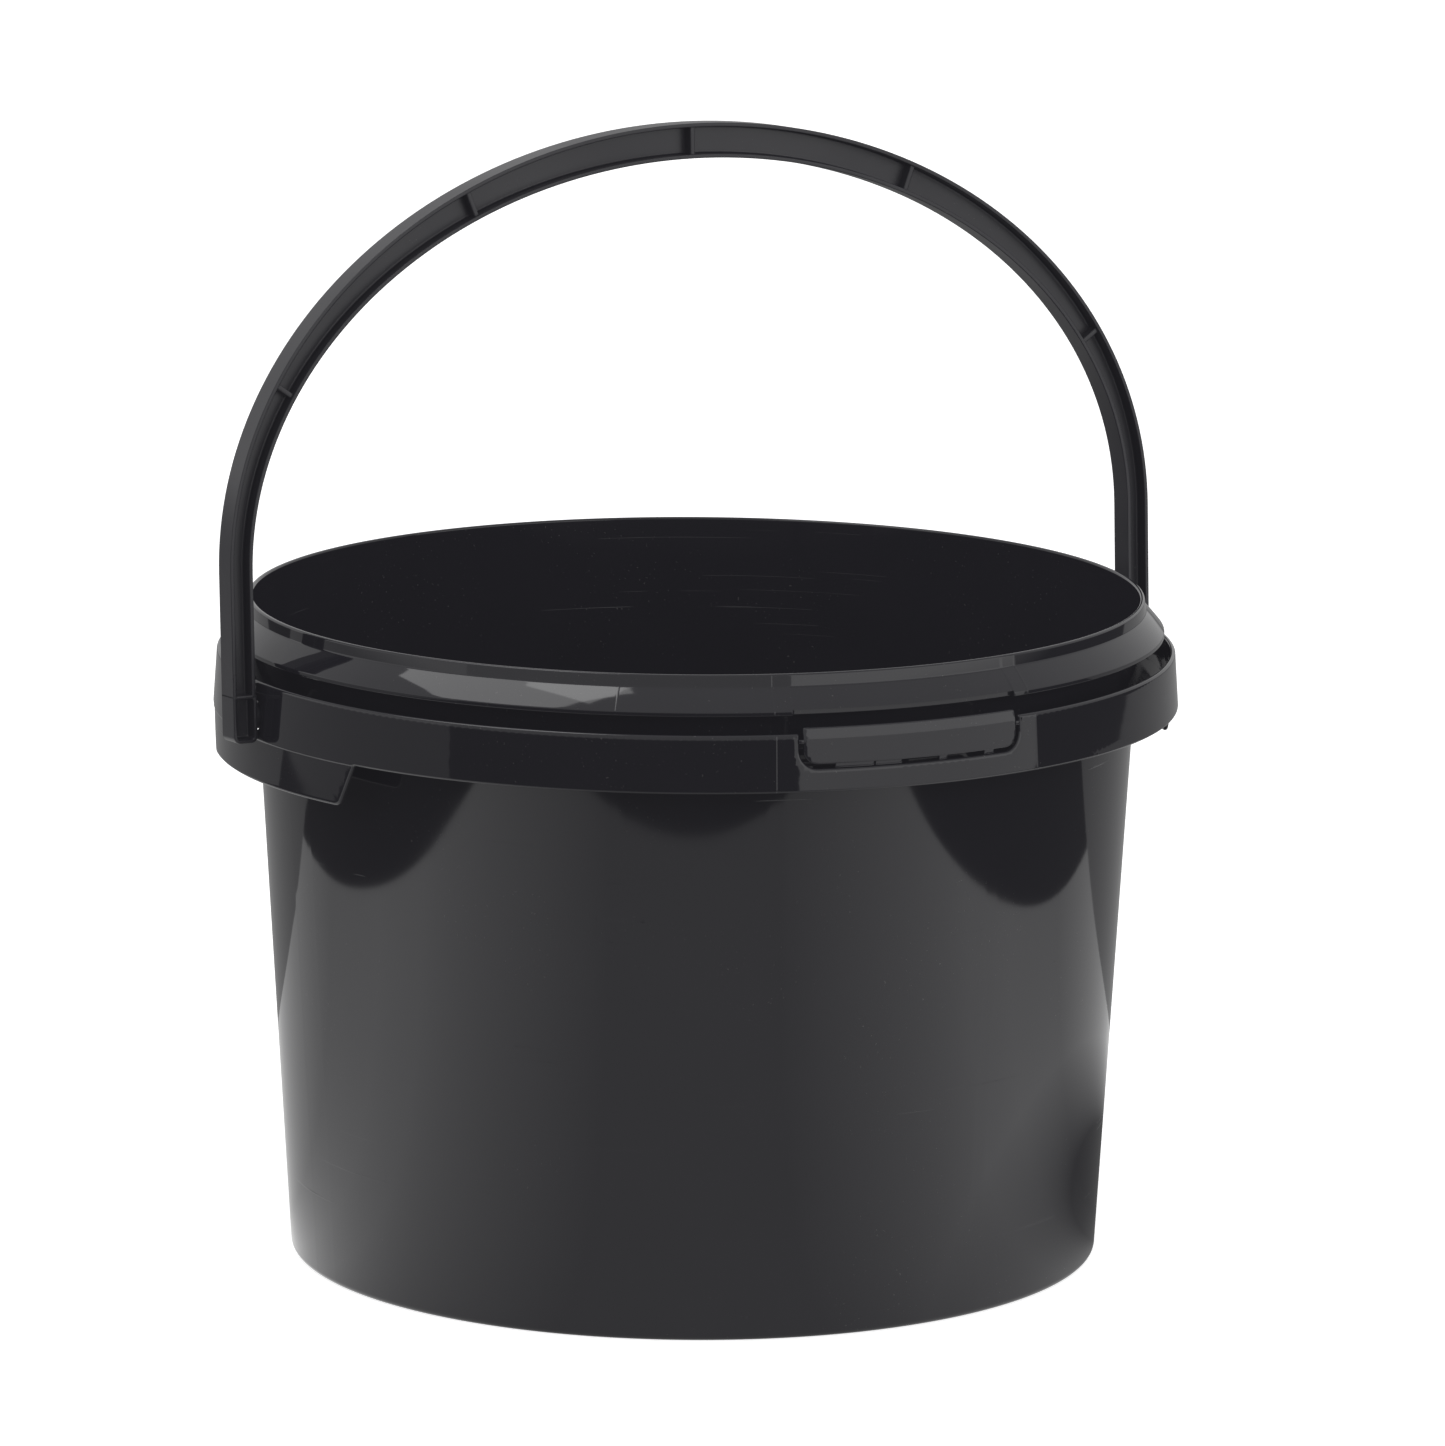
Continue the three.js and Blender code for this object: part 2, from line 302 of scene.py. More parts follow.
def body_section(angle):
    """The body's section at one angle, from the centre underneath to the centre of the floor inside."""
    notch = 1 - float(smooth_step(abs(angle), NOTCH_ANGLE - 0.09, NOTCH_ANGLE + 0.09))
    in_pocket = min(abs(angle - 90), abs(angle + 90)) < POCKET_ANGLE
    flange = POCKET_RADIUS if in_pocket else COLLAR_RADIUS - COLLAR_WALL / 2
    bead = SHOULDER_EDGE[0] - notch * (SHOULDER_EDGE[0] - NOTCH_RADIUS)
    slope = (SHOULDER_TOP[1] - SHOULDER_EDGE[1]) / (SHOULDER_EDGE[0] - SHOULDER_TOP[0])
    bead_top = SHOULDER_EDGE[1] + (SHOULDER_EDGE[0] - bead) * slope
    lip_inner = LIP_RADIUS - LIP_WALL
    crown_radius = (bead + SHOULDER_TOP[0]) / 2 + SHOULDER_BULGE[0]
    crown_z = (bead_top + SHOULDER_TOP[1]) / 2 + SHOULDER_BULGE[1]
    mark = float(insert_mark(angle) + ridge(angle - SEAM_ANGLE, 0.06))
    outside = [
        (0, RECESS, 0),
        (FOOT_INNER - 1, RECESS, 0.4),
        (FOOT_INNER, 0, 0.4),
        (BASE_RADIUS, 0, 1.7),
        (wall_radius(FLANGE_UNDER), FLANGE_UNDER, 0.5),
        (flange, FLANGE_UNDER, 0.2),
        (flange, FLANGE_TOP, 0.2),
        (wall_radius(FLANGE_TOP), FLANGE_TOP, 0.5),
        (wall_radius(BEAD_BOTTOM) + mark, BEAD_BOTTOM - 1, 0.5),
        (bead + mark, BEAD_BOTTOM, 0.3),
        (bead + mark, bead_top, 0.45),
        (crown_radius + mark, crown_z, 60),
        (SHOULDER_TOP[0] + mark, SHOULDER_TOP[1], 0.7),
        (LIP_RADIUS + mark / 2, LIP_TOP, 0.5),
    ]
    inside = [
        (lip_inner, LIP_TOP, 0.5),
        (wall_radius(FLOOR_Z) - WALL, FLOOR_Z, 2.5),
        (0, FLOOR_Z, 0),
    ]
    return rounded(outside + inside, steps=5)


def pail_body(material):
    angles = body_angles()
    sections = [body_section(angle) for angle in angles]
    count = len(sections[0])
    vertices = [around(a, r, z) for a, section in zip(angles, sections) for r, z in section]
    faces = []
    for i in range(len(angles)):
        here, there = i * count, (i + 1) % len(angles) * count
        faces += [(here + k, there + k, there + k + 1, here + k + 1) for k in range(count - 1)]
    piece = mesh_object("pail_body", vertices, faces, material)
    edit(piece, lambda editing: bmesh.ops.remove_doubles(editing, verts=editing.verts[:], dist=1e-6))
    return smooth_shaded(piece, 60)


def pail_gussets(material):
    """Small upright plates under the flange, between the body and the collar."""
    half = GUSSET_THICKNESS / 2
    plates = []
    for i in range(GUSSETS):
        low = (wall_radius(FLANGE_UNDER) - 0.5, -half, COLLAR_BOTTOM + 0.3)
        high = (COLLAR_RADIUS - COLLAR_WALL - 0.2, half, FLANGE_UNDER + 0.4)
        plate = bevelled_block("gusset", low, high, 0.2, material)
        plate.data.transform(Matrix.Rotation(math.radians((i + 0.5) * 360 / GUSSETS), 4, "Z"))
        plates.append(plate)
    return smooth_shaded(joined("pail_gussets", plates))


# ---------- plates bent round the pail's axis: the collar and the tab ----------

def round_the_collar(angle):
    return math.radians(angle) * UNROLLED


def wrapped_difference(points):
    """The step from each point's last neighbour to its next one, on a closed outline."""
    step = np.roll(points, -1, axis=0) - np.roll(points, 1, axis=0)
    half_turn = math.pi * UNROLLED
    step[:, 0] = (step[:, 0] + half_turn) % (2 * half_turn) - half_turn
    return step


def inset(outline, amount):
    """An outline moved into its material, which lies on its left."""
    step = wrapped_difference(outline)
    step /= np.linalg.norm(step, axis=1)[:, None]
    return outline + amount * np.stack([-step[:, 1], step[:, 0]], axis=1)


def resampled(points, closes):
    """An outline with short steps, so that it follows the bend, and very short ones at the insert's ends."""
    ends = np.vstack([points, points[:1]]) if closes else points
    mark = round_the_collar(INSERT_ANGLE)
    result = []
    for start, end in zip(ends[:-1], ends[1:]):
        distance = float(np.linalg.norm(end - start))
        at = 0.0
        while at < distance - 1e-6:
            result.append(start + (end - start) * at / distance)
            here = result[-1][0]
            forward = 1.0
            for line in (-mark, mark):
                if abs(here - line) < 0.35:
                    forward = 0.08
                elif abs(here - line) < 1.6:
                    forward = min(forward, abs(here - line) - 0.3)
            at += max(forward, 0.08)
        if distance - (at - forward) < 0.04 and len(result) > 1:
            result.pop()
    return np.array(result)


def flat_map(points):
    """Points of the unrolled plate laid out as a flat ring, where the plate's two ends meet."""
    reach = points[:, 1] - (COLLAR_BOTTOM + 5 - UNROLLED)
    turn = -points[:, 0] / UNROLLED
    return np.stack([reach * np.cos(turn), reach * np.sin(turn)], axis=1)


def inside_of(points, outlines):
    """Which flat points lie in the material, by counting the outline edges to their right."""
    found = np.zeros(len(points), bool)
    for outline in outlines:
        start, end = outline, np.roll(outline, -1, axis=0)
        for (x0, y0), (x1, y1) in zip(start, end):
            if y0 == y1:
                continue
            crosses = (points[:, 1] > min(y0, y1)) & (points[:, 1] <= max(y0, y1))
            found ^= crosses & (points[:, 0] < x0 + (points[:, 1] - y0) * (x1 - x0) / (y1 - y0))
    return found


def grid_points(outlines, columns, rows, clear):
    """Points of a grid that lie in the material, clear of its outlines."""
    grid = np.array([(column, row) for column in columns for row in rows], float)
    grid = grid[inside_of(flat_map(grid), [flat_map(outline) for outline in outlines])]
    edge = np.vstack(outlines)
    kept = []
    for point in grid:
        offset = edge - point
        if np.min(offset[:, 0] ** 2 + offset[:, 1] ** 2) > clear ** 2:
            kept.append(point)
    return np.array(kept)


def bent_plate(name, outlines, columns, rows, radius_at, thickness, edge, material):
    """A plate with rounded edges, bent round the pail's axis.

    Outlines are closed, in (distance round the collar, height), with the material on their left.
    """
    steps = 4
    arc = [math.pi / 2 * step / steps for step in range(steps + 1)]
    profile = [(edge * (1 - math.sin(a)), edge * (1 - math.cos(a))) for a in arc]
    mirrored = [(inward, thickness - depth) for inward, depth in reversed(profile)]
    halves_meet = math.isclose(2 * edge, thickness)
    profile += mirrored[1:] if halves_meet else mirrored

    def place(point, depth):
        angle = math.degrees(point[0] / UNROLLED)
        return around(angle, float(radius_at(angle, point[1])) - depth, point[1])

    skin_outlines = [inset(outline, edge) for outline in outlines]
    inner = grid_points(skin_outlines, columns, rows, 0.3)
    flat_outlines = [flat_map(outline) for outline in skin_outlines]
    flat = np.vstack(flat_outlines + [flat_map(inner)])
    lines = []
    first = 0
    for outline in skin_outlines:
        count = len(outline)
        lines += [(first + i, first + (i + 1) % count) for i in range(count)]
        first += count
    result = delaunay_2d_cdt([Vector(point) for point in flat], lines, [], 0, 1e-7)
    where = {i: originals[0] for i, originals in enumerate(result[3]) if originals}
    triangles = [tuple(where[i] for i in face) for face in result[2] if all(i in where for i in face)]
    centres = np.array([flat[list(triangle)].mean(axis=0) for triangle in triangles])
    keep = inside_of(centres, flat_outlines)
    triangles = [triangle for triangle, is_in in zip(triangles, keep) if is_in]

    skin = np.vstack(skin_outlines + [inner])
    total = len(skin)
    vertices = [place(point, 0) for point in skin] + [place(point, thickness) for point in skin]
    faces = list(triangles)
    faces += [tuple(total + i for i in reversed(triangle)) for triangle in triangles]
    first = 0
    for outline in outlines:
        count = len(outline)
        rings = [list(range(first, first + count))]
        for inward, depth in profile[1:-1]:
            rings.append(list(range(len(vertices), len(vertices) + count)))
            vertices += [place(point, depth) for point in inset(outline, inward)]
        rings.append([total + i for i in range(first, first + count)])
        for ring, following in zip(rings[:-1], rings[1:]):
            for i in range(count):
                j = (i + 1) % count
                faces.append((ring[i], following[i], following[j], ring[j]))
        first += count
    return mesh_object(name, vertices, faces, material)


def collar_face(angle, z):
    """Radius of the collar's outer face."""
    slope = (COLLAR_TOP_RADIUS - COLLAR_RADIUS) / (COLLAR_TOP - COLLAR_BOTTOM)
    setback = EAR_SETBACK * smooth_step(-z, -COLLAR_BOTTOM - 0.15, -COLLAR_BOTTOM + 0.15)
    return COLLAR_RADIUS + slope * max(z - COLLAR_BOTTOM, 0) - setback + insert_mark(angle)


def tab_face(angle, z):
    """Radius of the tab's outer face, whose top edge leans in."""
    start = TAB_TOP - TAB_LIP
    lean = 0.45 * np.clip((z - start) / TAB_LIP, 0, 1) + 0.1 * smooth_step(z, start - 0.2, start + 0.2)
    return collar_face(0, min(z, COLLAR_TOP)) - lean


def collar_top_outline():
    """The collar's upper edge and the tab's window, drawn towards -X with the material on its left."""
    end = math.pi * UNROLLED
    half = round_the_collar(TAB_ANGLE) + TAB_SLIT
    bottom = TAB_BOTTOM - TAB_SLIT
    corner = TAB_CORNER + TAB_SLIT
    line = rounded(
        [
            (end, COLLAR_TOP, 0),
            (half, COLLAR_TOP, 0.5),
            (half, bottom, corner),
            (-half, bottom, corner),
            (-half, COLLAR_TOP, 0.5),
            (-end, COLLAR_TOP, 0),
        ],
        steps=10,
    )
    return resampled(line, closes=False)


def collar_bottom_outline():
    """The collar's lower edge with an ear under each end of the handle."""
    end = math.pi * UNROLLED
    points = [(-end, COLLAR_BOTTOM, 0)]
    for side in (-90, 90):
        points += [
            (round_the_collar(side - EAR_TOP_ANGLE), COLLAR_BOTTOM, 0.8),
            (round_the_collar(side - EAR_BOTTOM_ANGLE), EAR_BOTTOM, 2.5),
            (round_the_collar(side + EAR_BOTTOM_ANGLE), EAR_BOTTOM, 2.5),
            (round_the_collar(side + EAR_TOP_ANGLE), COLLAR_BOTTOM, 0.8),
        ]
    points.append((end, COLLAR_BOTTOM, 0))
    return resampled(rounded(points, steps=8), closes=False)


def pin_hole_outline(side):
    steps = 48
    centre = round_the_collar(side)
    turns = [-2 * math.pi * step / steps for step in range(steps)]
    return np.array([(centre + PIN_HOLE * math.cos(t), PIVOT_Z + PIN_HOLE * math.sin(t)) for t in turns])


def pail_collar(material):
    outlines = [collar_top_outline(), collar_bottom_outline(), pin_hole_outline(-90), pin_hole_outline(90)]
    columns = [round_the_collar(angle) for angle in range(-180, 180)]
    mark = round_the_collar(INSERT_ANGLE)
    for line in (-mark, mark):
        columns += [line + step * 0.08 for step in range(-4, 5)]
    rows = list(np.arange(EAR_BOTTOM + 1, COLLAR_TOP, 1.9))
    rows += [COLLAR_BOTTOM + step for step in (-0.3, -0.15, 0, 0.15, 0.3)]
    columns.sort()
    rows.sort()
    collar = bent_plate(
        "pail_collar", outlines, columns, rows, collar_face, COLLAR_WALL, COLLAR_ROUNDING, material
    )
    return smooth_shaded(collar, 60)


# ---------- tear-off tab ----------

def tab_plate(material):
    half = round_the_collar(TAB_ANGLE)
    outline = rounded(
        [
            (-half, TAB_TOP, 0.5),
            (-half, TAB_BOTTOM, TAB_CORNER),
            (half, TAB_BOTTOM, TAB_CORNER),
            (half, TAB_TOP, 0.5),
        ],
        closed=True,
        steps=10,
    )
    outlines = [resampled(outline, closes=True)]
    columns = np.linspace(-half, half, 57)
    rows = np.arange(TAB_BOTTOM + 0.5, TAB_TOP, 0.4)
    tab = bent_plate("tab_plate", outlines, columns, rows, tab_face, COLLAR_WALL, TAB_ROUNDING, material)
    return smooth_shaded(tab, 60)


def lower_web(start, end, setback, material):
    """One thin web across the slit below the tab, set back a little behind the tab's face."""
    bottom = TAB_BOTTOM - TAB_SLIT + 0.05
    top = TAB_BOTTOM + 0.4
    left, right = round_the_collar(start), round_the_collar(end)
    corners = [(left, top, 0.2), (left, bottom, 0.1), (right, bottom, 0.1), (right, top, 0.2)]
    outline = resampled(rounded(corners, closed=True), closes=True)
    columns = np.arange(left + 0.5, right, 0.9)
    rows = [bottom + 0.5]

    def face(angle, z):
        return tab_face(angle, TAB_BOTTOM) - setback

    return bent_plate("web", [outline], columns, rows, face, BRIDGE_THICKNESS, 0.12, material)


def side_web(side, material):
    """One thin web across the slit at one side of the tab."""
    front = -(COLLAR_RADIUS - COLLAR_WALL / 2)
    z = TAB_BOTTOM + SIDE_WEB_RISE
    low = (-SIDE_WEB_HALF, front, z - SIDE_WEB_HALF_HEIGHT)
    high = (SIDE_WEB_HALF, front + BRIDGE_THICKNESS, z + SIDE_WEB_HALF_HEIGHT)
    web = bevelled_block("web", low, high, 0.18, material)
    angle = side * (TAB_ANGLE + math.degrees(TAB_SLIT / UNROLLED) / 2)
    web.data.transform(Matrix.Rotation(math.radians(angle), 4, "Z"))
    return web


def tab_bridges(material):
    """The thin webs that hold the tab until it is torn off: along its lower edge and at its sides."""
    webs = [lower_web(start, end, setback, material) for start, end, setback in BRIDGE_SPANS]
    webs += [side_web(side, material) for side in (-1, 1)]
    return smooth_shaded(joined("tab_bridges", webs))


# ---------- bail handle ----------

def arch_point(angle, half, top):
    a = math.radians(angle)
    return np.array([half * math.sin(a), BAIL_SPRING + (top - BAIL_SPRING) * math.cos(a)])


def bail_stations():
    """(inner point, outer point) in X and Z along the handle, from the left foot to the right one."""
    foot = HUB_TOP - 0.5
    legs = np.linspace(foot, BAIL_SPRING, 8)[:-1]
    stations = [(np.array([-BAIL_INNER_HALF, z]), np.array([-BAIL_HALF, z])) for z in legs]
    for angle in np.linspace(-90, 90, 121):
        inner = arch_point(angle, BAIL_INNER_HALF, BAIL_INNER_TOP)
        stations.append((inner, arch_point(angle, BAIL_HALF, BAIL_TOP)))
    stations += [(np.array([BAIL_INNER_HALF, z]), np.array([BAIL_HALF, z])) for z in legs[::-1]]
    return stations


def channel_section(height):
    """The handle's C section as (distance outwards from its middle, Y), open to the front."""
    half, front, back = height / 2, -BAIL_WIDTH / 2, BAIL_WIDTH / 2
    wall = half - BAIL_FLANGE
    return rounded(
        [
            (half, front, 0.2),
            (half, back, 0.35),
            (-half, back, 0.35),
            (-half, front, 0.2),
            (-wall, front, 0.25),
            (-wall, back - BAIL_WEB, 0.5),
            (wall, back - BAIL_WEB, 0.5),
            (wall, front, 0.25),
        ],
        closed=True,
        steps=4,
    )


def bail_channel(material):
    vertices = []
    for inner, outer in bail_stations():
        middle = (inner + outer) / 2
        outwards = (outer - inner) / np.linalg.norm(outer - inner)
        section = channel_section(float(np.linalg.norm(outer - inner)))
        for off, y in section:
            x, z = middle + outwards * off
            vertices.append((x, y, z))
    count = len(section)
    rings = len(vertices) // count
    faces = []
    for ring in range(rings - 1):
        here, there = ring * count, (ring + 1) * count
        for k in range(count):
            following = (k + 1) % count
            faces.append((here + k, here + following, there + following, there + k))
    return mesh_object("bail_channel", vertices, faces, material)


def bail_ribs(material):
    """Cross ribs in the channel, square to the arch."""
    ribs = []
    for angle in BAIL_RIBS:
        inner = arch_point(angle, BAIL_INNER_HALF, BAIL_INNER_TOP)
        outer = arch_point(angle, BAIL_HALF, BAIL_TOP)
        reach = float(np.linalg.norm(outer - inner)) / 2 - BAIL_FLANGE / 2
        low = (-RIB_THICKNESS / 2, -BAIL_WIDTH / 2 + RIB_SETBACK, -reach)
        high = (RIB_THICKNESS / 2, BAIL_WIDTH / 2 - BAIL_WEB / 2, reach)
        rib = bevelled_block("rib", low, high, 0.3, material)
        across = outer - inner
        lean = math.atan2(across[0], across[1])
        middle = (inner + outer) / 2 * MM
        rib.data.transform(Matrix.Translation((middle[0], 0, middle[1])) @ Matrix.Rotation(lean, 4, "Y"))
        ribs.append(rib)
    return ribs


def hub_outline(grow):
    """The hub's outline in X and Z, grown outwards, for the +X foot."""
    low, high = HUB_INNER - grow, BAIL_HALF + grow
    corner = max(HUB_CORNER + grow, 0.5)
    return [
        (low, HUB_TOP + grow, 0.3),
        (low, HUB_BOTTOM - grow, corner),
        (high, HUB_BOTTOM - grow, corner),
        (high, HUB_TOP + grow, 0.3),
    ]


def bail_hub(side, material):
    """The square-ended hub at one foot of the handle, with its front pocket and its snap pin."""
    front, back = -BAIL_WIDTH / 2, BAIL_WIDTH / 2
    edge, floor_edge = 0.3, 0.4
    wall = BAIL_FLANGE
    layers = [
        (-edge, back),
        (-edge * 0.3, back - edge * 0.3),
        (0, back - edge),
        (0, front + edge),
        (-edge * 0.3, front + edge * 0.3),
        (-edge, front),
        (-wall + edge * 0.8, front),
        (-wall, front + edge),
        (-wall, front + HUB_POCKET - floor_edge),
        (-wall - floor_edge, front + HUB_POCKET),
    ]
    vertices = []
    for grow, y in layers:
        outline = rounded(hub_outline(grow), closed=True, steps=6)
        vertices += [(x, y, z) for x, z in outline]
    count = len(outline)
    faces = [tuple(range(count))]
    for layer in range(len(layers) - 1):
        here, there = layer * count, (layer + 1) * count
        for k in range(count):
            following = (k + 1) % count
            faces.append((here + k, there + k, there + following, here + following))
    last = (len(layers) - 1) * count
    faces.append(tuple(last + k for k in reversed(range(count))))
    hub = mesh_object("hub", vertices, faces, material)
    edit(hub, lambda editing: bmesh.ops.recalc_face_normals(editing, faces=editing.faces[:]))
    pin = snap_pin(material)
    if side < 0:
        for piece in (hub, pin):
            piece.data.transform(Matrix.Scale(-1, 4, (1, 0, 0)))
            piece.data.flip_normals()
    return [hub, pin]


def snap_pin(material):
    """A round pin with a broad snap head, pointing inwards from the +X hub."""
    line = rounded(
        [
            (HUB_INNER + 0.6, 0, 0),
            (HUB_INNER + 0.6, PIN_RADIUS, 0),
            (PIN_HEAD_BACK, PIN_RADIUS, 0.1),
            (PIN_HEAD_BACK, PIN_HEAD_RADIUS, 0.3),
            (PIN_HEAD_TIP, PIN_TIP_RADIUS, 0.5),
            (PIN_HEAD_TIP, 0, 0),
        ]
    )
    steps = 48
    vertices = []
    for step in range(steps):
        t = 2 * math.pi * step / steps
        vertices += [(x, r * math.cos(t), r * math.sin(t)) for x, r in line]
    count = len(line)
    faces = []
    for step in range(steps):
        here, there = step * count, (step + 1) % steps * count
        faces += [(here + k, there + k, there + k + 1, here + k + 1) for k in range(count - 1)]
    pin = mesh_object("pin", vertices, faces, material)

    def close(editing):
        bmesh.ops.remove_doubles(editing, verts=editing.verts[:], dist=1e-7)
        bmesh.ops.recalc_face_normals(editing, faces=editing.faces[:])

    edit(pin, close)
    return pin


def bail_handle(material):
    pieces = [bail_channel(material)] + bail_ribs(material)
    for side in (-1, 1):
        pieces += bail_hub(side, material)
    handle = joined("bail_handle_moulding", pieces)
    lean = Matrix.Rotation(-math.radians(BAIL_LEAN), 4, "X")
    handle.data.transform(Matrix.Translation((0, 0, PIVOT_Z * MM)) @ lean)
    edit(handle, lambda editing: bmesh.ops.recalc_face_normals(editing, faces=editing.faces[:]))
    return smooth_shaded(handle, 50)


# ---------- materials ----------

class Nodes:
    """A short way to add and link the nodes of one material."""

    def __init__(self, name):
        self.material = bpy.data.materials.new(name)
        self.material.use_nodes = True
        self.tree = self.material.node_tree
        self.shader = self.tree.nodes.get("Principled BSDF")

    def add(self, kind, inputs=(), **settings):
        node = self.tree.nodes.new(kind)
        for name, value in settings.items():
            setattr(node, name, value)
        for name, value in dict(inputs).items():
            if isinstance(value, bpy.types.NodeSocket):
                self.tree.links.new(value, node.inputs[name])
            else:
                node.inputs[name].default_value = value
        return node

    def noise(self, place, scale, detail=3, stretch=None):
        vector = place
        if stretch:
            vector = self.add("ShaderNodeMapping", {"Vector": place, "Scale": stretch}).outputs[0]
        inputs = {"Vector": vector, "Scale": scale, "Detail": detail}
        return self.add("ShaderNodeTexNoise", inputs).outputs["Fac"]

    def remap(self, value, low, high, to_low, to_high):
        inputs = {"Value": value, "From Min": low, "From Max": high, "To Min": to_low, "To Max": to_high}
        return self.add("ShaderNodeMapRange", inputs).outputs[0]

    def math(self, operation, first, second):
        return self.add("ShaderNodeMath", {0: first, 1: second}, operation=operation).outputs[0]

    def mix(self, factor, first, second):
        inputs = {"Factor": factor, "A": first, "B": second}
        return self.add("ShaderNodeMix", inputs, data_type="RGBA").outputs["Result"]

    def bump(self, height, distance, strength, normal=None):
        inputs = {"Height": height, "Distance": distance, "Strength": strength}
        if normal:
            inputs["Normal"] = normal
        return self.add("ShaderNodeBump", inputs).outputs[0]


def black_plastic(name, shade, roughness, scratches):
    """Glossy black polypropylene: faint mould waviness, handling marks, fine scratches and dust."""
    nodes = Nodes(name)
    place = nodes.add("ShaderNodeTexCoord").outputs["Object"]

    # colour: near black, with a little grey dust in specks
    blotches = nodes.noise(place, scale=60, detail=4)
    specks = nodes.remap(nodes.noise(place, scale=1500, detail=2), 0.71, 0.74, 0, 0.4)
    patches = nodes.remap(nodes.noise(place, scale=35, detail=2), 0.5, 0.6, 0, 1)
    dust = nodes.math("MULTIPLY", specks, patches)
    dark = [shade * 0.85, shade * 0.82, shade * 1.1, 1]
    light = [shade * 1.2, shade * 1.15, shade * 1.5, 1]
    tone = nodes.mix(blotches, dark, light)
    dusty = nodes.mix(dust, tone, [0.16, 0.155, 0.15, 1])
    nodes.tree.links.new(dusty, nodes.shader.inputs["Base Color"])

    # roughness: wiped and handled areas, and scratches that catch the light
    handling = nodes.noise(place, scale=22, detail=5)
    handled = nodes.remap(handling, 0.35, 0.7, roughness * 0.8, roughness * 1.25)
    long_lines = nodes.remap(nodes.noise(place, scale=1, detail=2, stretch=(9, 9, 1400)), 0.70, 0.74, 0, 1)
    short_parts = nodes.remap(nodes.noise(place, scale=30, detail=1), 0.52, 0.6, 0, 1)
    line = nodes.math("MULTIPLY", long_lines, short_parts)
    rough = nodes.math("ADD", handled, nodes.math("MULTIPLY", line, 0.12))
    nodes.tree.links.new(rough, nodes.shader.inputs["Roughness"])

    # relief: slow waviness of the moulded wall, a fine skin, and the scratches
    wavy = nodes.bump(nodes.noise(place, scale=14, detail=1), distance=0.02, strength=0.012)
    grain = nodes.noise(place, scale=300, detail=2)
    skin = nodes.bump(grain, distance=0.00006, strength=0.004, normal=wavy)
    scratched = nodes.bump(line, distance=0.0004, strength=scratches, normal=skin)
    nodes.tree.links.new(scratched, nodes.shader.inputs["Normal"])
    nodes.shader.inputs["IOR"].default_value = 1.5
    return nodes.material


def floor_material():
    nodes = Nodes("pale_floor")
    place = nodes.add("ShaderNodeTexCoord").outputs["Object"]
    clouds = nodes.noise(place, scale=3, detail=2)
    shade = nodes.mix(clouds, [0.86, 0.86, 0.865, 1], [0.88, 0.88, 0.885, 1])
    nodes.tree.links.new(shade, nodes.shader.inputs["Base Color"])
    nodes.shader.inputs["Roughness"].default_value = 0.9
    nodes.shader.inputs["Specular IOR Level"].default_value = 0.1
    nodes.shader.inputs["Emission Color"].default_value = (1, 1, 1, 1)
    nodes.shader.inputs["Emission Strength"].default_value = 0.75
    return nodes.material


# ---------- camera, light and floor ----------

CAMERA_AZIMUTH = -26.2
CAMERA_ELEVATION = 12.12
CAMERA_DISTANCE = 2.2001
CAMERA_AIM = Vector((0, 0, 0.080))
CAMERA_LENS = 232.55
CAMERA_ROLL = 0.336
CAMERA_TILT = 1.143
CAMERA_PAN = -0.171
HAZE = (0.0088, 0.0086, 0.0100)  # red, green and blue that the black of the picture is lifted to
SHADOW_PLACE = (0.10, 0.06, 0)  # middle of the soft shadow on the table: right of the view, and behind
TABLE_BACK = -0.22  # where the table ends and the backdrop starts, behind the bucket
FLOOR_REACH = 12.0
BACKCLOTH_HEIGHT = 10.0


def turned_from_camera(across, towards, up):
    """A place in metres given to the right of, towards and above the camera's view of the origin."""
    a = math.radians(CAMERA_AZIMUTH)
    right = Vector((math.cos(a), math.sin(a), 0))
    near = Vector((math.sin(a), -math.cos(a), 0))
    return right * across + near * towards + Vector((0, 0, up))


def add_camera():
    data = bpy.data.cameras.new("camera")
    data.lens = CAMERA_LENS
    data.sensor_width = 36
    data.clip_start = 0.05
    data.clip_end = 300
    a, e = math.radians(CAMERA_AZIMUTH), math.radians(CAMERA_ELEVATION)
    back = Vector((math.sin(a) * math.cos(e), -math.cos(a) * math.cos(e), math.sin(e)))
    right = Vector((math.cos(a), math.sin(a), 0))
    look = Matrix((right, back.cross(right), back)).transposed().to_4x4()
    roll = Matrix.Rotation(math.radians(CAMERA_ROLL), 4, "Z")
    tilt = Matrix.Rotation(math.radians(CAMERA_TILT), 4, "X")
    pan = Matrix.Rotation(math.radians(CAMERA_PAN), 4, "Y")
    camera = bpy.data.objects.new("camera", data)
    camera.matrix_world = Matrix.Translation(CAMERA_AIM + back * CAMERA_DISTANCE) @ look @ roll @ tilt @ pan
    bpy.context.scene.collection.objects.link(camera)
    bpy.context.scene.camera = camera


def add_softbox(name, place, aim, width, height, power):
    data = bpy.data.lights.new(name, "AREA")
    data.shape = "RECTANGLE"
    data.size = width
    data.size_y = height
    data.energy = power
    lamp = bpy.data.objects.new(name, data)
    towards_aim = (aim - place).to_track_quat("-Z", "Y").to_matrix().to_4x4()
    lamp.matrix_world = Matrix.Translation(place) @ towards_aim
    bpy.context.scene.collection.objects.link(lamp)


def upright_card(name, direction, width, low, high, distance, power):
    """A softbox standing round the bucket, facing it, at a direction counted right of the camera."""
    t = math.radians(direction)
    middle = (low + high) / 2
    place = turned_from_camera(distance * math.sin(t), distance * math.cos(t), middle)
    add_softbox(name, place, Vector((0, 0, middle)), width, high - low, power)


